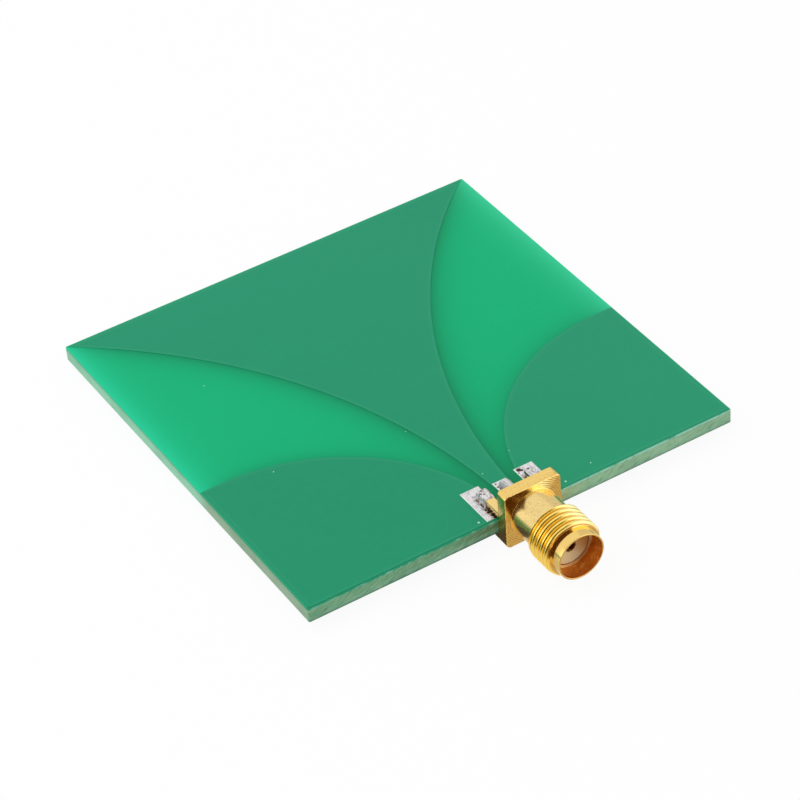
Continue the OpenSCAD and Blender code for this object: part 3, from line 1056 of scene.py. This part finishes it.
def legSolder(name, look, material):
    low, high = (corner.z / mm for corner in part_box(look["node"]))
    up = look["up"]
    base = low if up > 0 else high
    legTop = maskTop + jack["legHeight"] if up > 0 else jack["lowLegTop"] - jack["legHeight"]
    top = abs(legTop - base)
    xs, ys = padGrid(joint["padIn"], joint["padOut"], joint["padNear"], joint["padFar"])

    def spots(x, y):
        return legSolderSpot(x, y, top, look)

    mesh = fieldMesh(name, xs, ys, spots, base, up, look["side"])
    addPiece(name, mesh, material, "solder", look["node"])


pinJoint = {
    "padHalf": 0.8, "padNear": 8.1, "padFar": 12.55,
    "pinEnd": 11.3,
    "leftReach": 0.64, "rightReach": 0.78,   # the solder ran more to the right
    "tip": 0.8,
    "seed": 5,
    # pits as x, y and size, painted dark as shade
    "pits": [(-0.56, 12.25, 0.1), (-0.6, 11.75, 0.12), (-0.66, 11.2, 0.1), (0.1, 11.75, 0.06)],
}


def pinSolderSpot(x, y, crown):
    sizes = pinJoint
    seed = sizes["seed"]
    rough = wobble(x, y, 0.4, seed) + 0.5 * wobble(x, y, 0.2, seed + 2)
    reach = sizes["leftReach"] if x < 0 else sizes["rightReach"]
    away = math.hypot(x / reach, max(y - sizes["pinEnd"], 0.0) / sizes["tip"])
    back = (crown - 0.03) * math.sqrt(max(1 - away ** 2, 0.0)) + 0.02 * rough * (away < 0.9)
    height = max(joint["tin"] + 0.02 * rough, back)
    sootAndShade = 0.7 * bell(away - 1.05, 0.1) * max(wobble(x, y, 0.5, seed + 5) + 0.45, 0.0)
    # pits painted dark as shade
    for pitX, pitY, pitSize in sizes["pits"]:
        pit = bell(math.hypot(x - pitX, y - pitY), pitSize)
        sootAndShade = max(sootAndShade, pit)
        height *= 1 - 0.3 * pit
    # the dome's left side is painted greyer, as shade
    greyAndShade = (0.2 + 1.1 * max(-x / reach, 0.0)) * (away < 1.0)
    return height, sootAndShade, greyAndShade


def pinSolder(name, node, material):
    low, high = (corner.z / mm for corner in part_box(node))
    half = pinJoint["padHalf"]
    xs, ys = padGrid(-half, half, pinJoint["padNear"], pinJoint["padFar"])

    def spots(x, y):
        return pinSolderSpot(x, y, high - low)

    mesh = fieldMesh(name, xs, ys, spots, low, 1, 1)
    addPiece(name, mesh, material, "solder", node)


# finishes and pieces
goldPlate = goldFinish()
tinned = tinFinish()
foil = copperFinish()
dress("top_solder_mask", lacquerFinish("lacquerTop", True))
dress("bottom_solder_mask", lacquerFinish("lacquerBottom", False))
dress("board_laminate", laminateFinish())
copperNodes = ["radiator_copper", "left_ground_copper", "right_ground_copper"]
for copperNode in copperNodes + ["left_bottom_pad", "right_bottom_pad"]:
    dress(copperNode, foil)
dress("jack_insulator", insulatorFinish())
dress("centre_contact", goldPlate)
print("finishes set on", len(nodes), "solids")

addPiece("goldJack", jackMesh(goldPlate), goldPlate, "gold_plating", "jack_body")
for jointName, jointLook in legJoints.items():
    legSolder(jointName, jointLook, tinned)
pinSolder("pinJoint", "pin_solder", tinned)
print("solder joints made")


studio = {
    "worldDiffuse": 0.74,
    "lampPlace": (-0.34, 0.22, 0.5), "lampSize": 0.45, "lampPower": 1.5,
    "floorSize": 4.0,
    "floorTone": tone(245, 245, 245), "floorRoughness": 0.9,
    "floorSeen": 0.93,     # share of plain white in the floor, to the camera
}
# what the metal mirrors, by direction from the jack in degrees: heading 0 is the front, left is less.
# the first heading of a pair is at the low end of a patch, the second at the high end, and a later
# patch lies over those before it
surroundings = {
    "reach": 0.46, "columns": 180, "rows": 90,
    "softness": 5.0,       # degrees over which a patch fades out
    "patches": [
        # the first two patches are the floor below, dimmed as painted shade
        {"glow": (0.62, 0.52, 0.38), "left": (-20, -20), "right": (118, 118), "rise": (-120, -30)},
        {"glow": (0.95, 0.86, 0.68), "left": (-118, -118), "right": (-20, -20), "rise": (-120, -31)},
        {"glow": (0.8, 0.76, 0.68), "left": (-125, -125), "right": (-84, -84), "rise": (35, 66)},
        {"glow": (2.3, 2.3, 2.3), "left": (-118, -118), "right": (-84, -84), "rise": (2, 35)},
        # the floor beside the board, dimmed as painted shade
        {"glow": (0.7, 0.67, 0.62), "left": (-200, -200), "right": (-122, -122), "rise": (-60, -14)},
        {"glow": (0.8, 0.8, 0.8), "left": (100, 100), "right": (140, 140), "rise": (-30, 55)},
        {"glow": (1.2, 1.2, 1.2), "left": (14, 14), "right": (100, 100), "rise": (-30, 55)},
        {"glow": (1.8, 1.8, 1.8), "left": (28, 28), "right": (62, 62), "rise": (-10, 48)},
        {"glow": (0.1, 0.045, 0.016), "left": (-84, -86), "right": (-18, -18), "rise": (-31, 68)},
        {"glow": (0.1, 0.045, 0.016), "left": (-20, -20), "right": (20, 32), "rise": (19, 67)},
    ],
}
# shade under the board left of the jack, for the metal
shadowSheet = {"glow": 0.07, "left": -14.0, "right": -3.3, "near": 6.4, "far": 40.0}


def lightPath(bench, *labels):
    # 1 for a ray of any of these kinds
    outputs = bench.node("ShaderNodeLightPath").socket.node.outputs
    total = Wire(bench, outputs[labels[0]])
    for label in labels[1:]:
        total = total + Wire(bench, outputs[label])
    return bench.lower(total, 1.0)


def setWorld():
    world = bpy.data.worlds.new("softWhite")
    scene.world = world
    world.use_nodes = True
    bench = Bench(world.node_tree)
    world.node_tree.nodes.clear()
    seen = lightPath(bench, "Is Camera Ray", "Is Glossy Ray", "Is Transmission Ray")
    strength = seen + (1.0 - seen) * studio["worldDiffuse"]
    sky = bench.node("ShaderNodeBackground", None, {"Color": (1, 1, 1, 1), "Strength": strength})
    outlet = world.node_tree.nodes.new("ShaderNodeOutputWorld")
    bench.feed(outlet.inputs["Surface"], sky)


def addSheet(name, corners, faces, material):
    mesh = bpy.data.meshes.new(name)
    mesh.from_pydata(corners, [], faces)
    mesh.materials.append(material)
    sheet = bpy.data.objects.new(name, mesh)
    scene.collection.objects.link(sheet)
    return sheet


def flatSheet(name, left, right, near, far, material):
    # at the level of the object's lowest point
    level = cadBox[0].z
    corners = [(left, near, level), (right, near, level), (right, far, level), (left, far, level)]
    return addSheet(name, corners, [range(4)], material)


def floorMaterial():
    # pale floor that keeps the shadow, and lets the underside be seen from below
    ground = Finish("paleFloor", {
        "Base Color": studio["floorTone"],
        "Roughness": studio["floorRoughness"],
        "Specular IOR Level": 0.0,
    })
    glow = ground.node("ShaderNodeEmission", None, {"Color": (1, 1, 1, 1), "Strength": 1.0})
    share = lightPath(ground, "Is Camera Ray", "Is Glossy Ray", "Is Transmission Ray")
    share = share * studio["floorSeen"]
    plain = Wire(ground, ground.shader.outputs["BSDF"])
    lit = ground.node("ShaderNodeMixShader", None, {0: share, 1: plain, 2: glow})
    below = ground.node("ShaderNodeNewGeometry", None, None, "Backfacing")
    clear = ground.node("ShaderNodeBsdfTransparent")
    whole = ground.node("ShaderNodeMixShader", None, {0: below, 1: lit, 2: clear})
    ground.feed(ground.tree.nodes["Material Output"].inputs["Surface"], whole)
    return ground.material


def hideFrom(thing, *rays):
    for ray in rays:
        setattr(thing, "visible_" + ray, False)


def onlyMirrored(sheet):
    hideFrom(sheet, "camera", "diffuse", "shadow", "transmission")


def setFloor():
    half = studio["floorSize"] / 2
    floor = flatSheet("paleFloor", -half, half, -half, half, floorMaterial())
    hideFrom(floor, "glossy")  # the metal mirrors the surroundings instead
    hideFrom(floor, "diffuse", "shadow")  # light from below reaches the underside


def glowFinish(name):
    # glows where the metal mirrors it, and is no lamp
    finish = Finish(name, {
        "Base Color": (0, 0, 0, 1), "Specular IOR Level": 0.0, "Emission Strength": 1.0,
    })
    finish.material.cycles.emission_sampling = "NONE"
    return finish


def fadeIn(value, softness):
    # smooth, from 0 to 1 across a border
    share = min(max(value / softness + 0.5, 0.0), 1.0)
    return share * share * (3 - 2 * share)


def glowAt(heading, rise):
    light = np.ones(3)  # plain white where no patch lies
    softness = surroundings["softness"]
    for patch in surroundings["patches"]:
        low, high = patch["rise"]
        height = min(max((rise - low) / (high - low), 0.0), 1.0)
        sides = patch["left"], patch["right"]
        left, right = (start + (end - start) * height for start, end in sides)
        share = fadeIn(heading - left, softness) * fadeIn(right - heading, softness)
        share *= fadeIn(rise - low, softness) * fadeIn(high - rise, softness)
        light = light * (1 - share) + np.array(patch["glow"]) * share
    return light


def addSurroundings():
    # a sphere round the jack, painted with the patches
    columns, rows, reach = (surroundings[key] for key in ("columns", "rows", "reach"))
    corners, colours, faces = [], [], []
    for row in range(rows + 1):
        rise = -90 + 180 * row / rows
        level = reach * math.cos(math.radians(rise))
        height = reach * math.sin(math.radians(rise))
        for column in range(columns + 1):
            heading = -180 + 360 * column / columns
            turn = math.radians(heading)
            corners.append((math.sin(turn) * level, -math.cos(turn) * level, height))
            colours.extend([*glowAt(heading, rise), 1.0])
    for row in range(rows):
        for column in range(columns):
            here = row * (columns + 1) + column
            above = here + columns + 1
            faces.append((here, here + 1, above + 1, above))
    finish = glowFinish("surroundings")
    finish.set({"Emission Color": finish.painted("glow", "Color")})
    sheet = addSheet("surroundings", corners, faces, finish.material)
    layer = sheet.data.color_attributes.new("glow", "FLOAT_COLOR", "POINT")
    layer.data.foreach_set("color", colours)
    onlyMirrored(sheet)


def addShadowSheet():
    sides = (shadowSheet[key] * mm for key in ("left", "right", "near", "far"))
    finish = glowFinish("shadowSheet")
    finish.set({"Emission Color": (shadowSheet["glow"],) * 3 + (1.0,)})
    onlyMirrored(flatSheet("shadowSheet", *sides, finish.material))


def setLamp():
    lamp = bpy.data.lights.new("softLamp", "AREA")
    lamp.size = studio["lampSize"]
    lamp.energy = studio["lampPower"]
    lampObject = bpy.data.objects.new("softLamp", lamp)
    lampObject.location = studio["lampPlace"]
    hideFrom(lampObject, "glossy")
    toBoard = Vector((0, (boardLow.y + boardHigh.y) / 2 * mm, 0)) - lampObject.location
    lampObject.rotation_euler = toBoard.to_track_quat("-Z", "Y").to_euler()
    scene.collection.objects.link(lampObject)


camera = {
    "aim": (-1.18, 29.05, -0.45),   # point of the board in the middle of the picture
    "distance": 332.93,
    "heading": 29.19, "dip": 39.49, "roll": 4.757,
    "lens": 146.35, "sensor": 36.0,
    "nearest": 0.01,                # in metres
}


def setCamera():
    heading, dip, roll = (math.radians(camera[key]) for key in ("heading", "dip", "roll"))
    forward = Vector((
        math.sin(heading) * math.cos(dip), math.cos(heading) * math.cos(dip), -math.sin(dip)
    ))
    level = forward.cross(Vector((0, 0, 1))).normalized()
    down = forward.cross(level)
    right = level * math.cos(roll) + down * math.sin(roll)
    up = right.cross(forward)
    place = (Vector(camera["aim"]) - forward * camera["distance"]) * mm
    lens = bpy.data.cameras.new("viewer")
    lens.lens = camera["lens"]
    lens.sensor_width = camera["sensor"]
    lens.clip_start = camera["nearest"]
    viewer = bpy.data.objects.new("viewer", lens)
    turned = Matrix((right, up, -forward)).transposed().to_4x4()
    viewer.matrix_world = Matrix.Translation(place) @ turned
    scene.collection.objects.link(viewer)
    scene.camera = viewer


scene.view_settings.view_transform = "Standard"
setWorld()
setFloor()
addSurroundings()
addShadowSheet()
setLamp()
setCamera()
print("studio and camera set")
